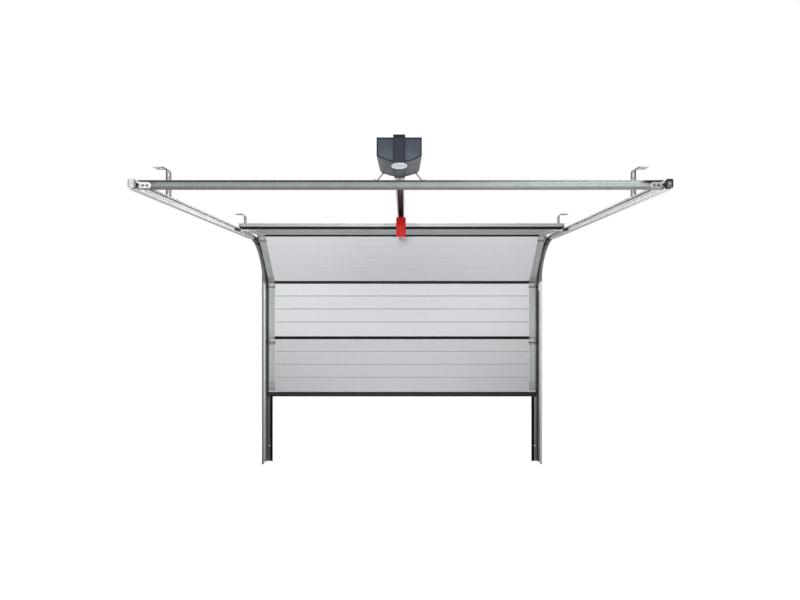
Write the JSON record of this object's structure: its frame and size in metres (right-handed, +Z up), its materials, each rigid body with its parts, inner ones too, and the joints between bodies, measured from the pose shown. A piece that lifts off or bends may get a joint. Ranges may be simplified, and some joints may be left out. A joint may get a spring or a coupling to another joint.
{
  "type": "sectional garage door",
  "caption": "Sectional overhead garage door seen partly open, with curved tracks, level rails, ceiling hangers and a ceiling-hung electric operator.",
  "frame": {"origin": "middle of the lintel's wall face", "axes": "+X along the wall, to the right seen from the room; +Y out through the wall; +Z up"},
  "size_m": [2.8, 2.644, 2.297],
  "materials": {
    "frame_steel": "galvanised sheet, dull",
    "galvanised_steel": "galvanised, satin",
    "section_paint": "embossed white paint, satin",
    "end_cap_steel": "galvanised sheet with grey paint",
    "seal_rubber": "matt black",
    "bottom_seal_rubber": "matt dark grey",
    "edge_aluminium": "plain extrusion",
    "roller_plastic": "black moulded",
    "buffer_rubber": "matt mid grey",
    "housing_plastic": "fine grain, grey",
    "strap_paint": "dark grey, satin",
    "plate_aluminium": "satin, bare",
    "boom_steel": "dark, satin",
    "clamp_steel": "zinc plated",
    "carriage_plastic": "black moulded",
    "lever_plastic": "red moulded",
    "belt_rubber": "matt black"
  },
  "bodies": {
    "root": {"left_post": "frame_steel", "right_post": "frame_steel", "lintel": "frame_steel", "frame_seals": "seal_rubber", "left_vertical_track": "galvanised_steel", "right_vertical_track": "galvanised_steel", "left_curved_track": "galvanised_steel", "right_curved_track": "galvanised_steel", "left_rail": "galvanised_steel", "right_rail": "galvanised_steel", "corner_plates": "galvanised_steel", "track_clips": "galvanised_steel", "rail_splices": "galvanised_steel", "bottom_section": "section_paint", "lower_middle_section": "section_paint", "upper_middle_section": "section_paint", "top_section": "section_paint", "section_end_caps": "end_cap_steel", "joint_seals": "seal_rubber", "bottom_seal": "bottom_seal_rubber", "top_edge_profile": "edge_aluminium", "top_seal": "seal_rubber", "first_joint_hinges": "galvanised_steel", "second_joint_hinges": "galvanised_steel", "third_joint_hinges": "galvanised_steel", "bottom_brackets": "galvanised_steel", "top_brackets": "galvanised_steel", "right_rollers": "roller_plastic", "left_rollers": "roller_plastic", "rear_cross_bar": "galvanised_steel", "cross_bar_brackets": "galvanised_steel", "rail_buffers": "buffer_rubber", "front_hangers": "galvanised_steel", "rear_hangers": "galvanised_steel", "operator_housing": "housing_plastic", "operator_strap": "strap_paint", "operator_badge": "plate_aluminium", "boom": "boom_steel", "boom_wall_bracket": "galvanised_steel", "boom_clamp": "clamp_steel", "operator_stays": "galvanised_steel", "carriage": "carriage_plastic", "door_arm": "galvanised_steel", "door_arm_bracket": "galvanised_steel", "release_lever": "lever_plastic", "drive_belt": "belt_rubber"}
  },
  "joints": []
}
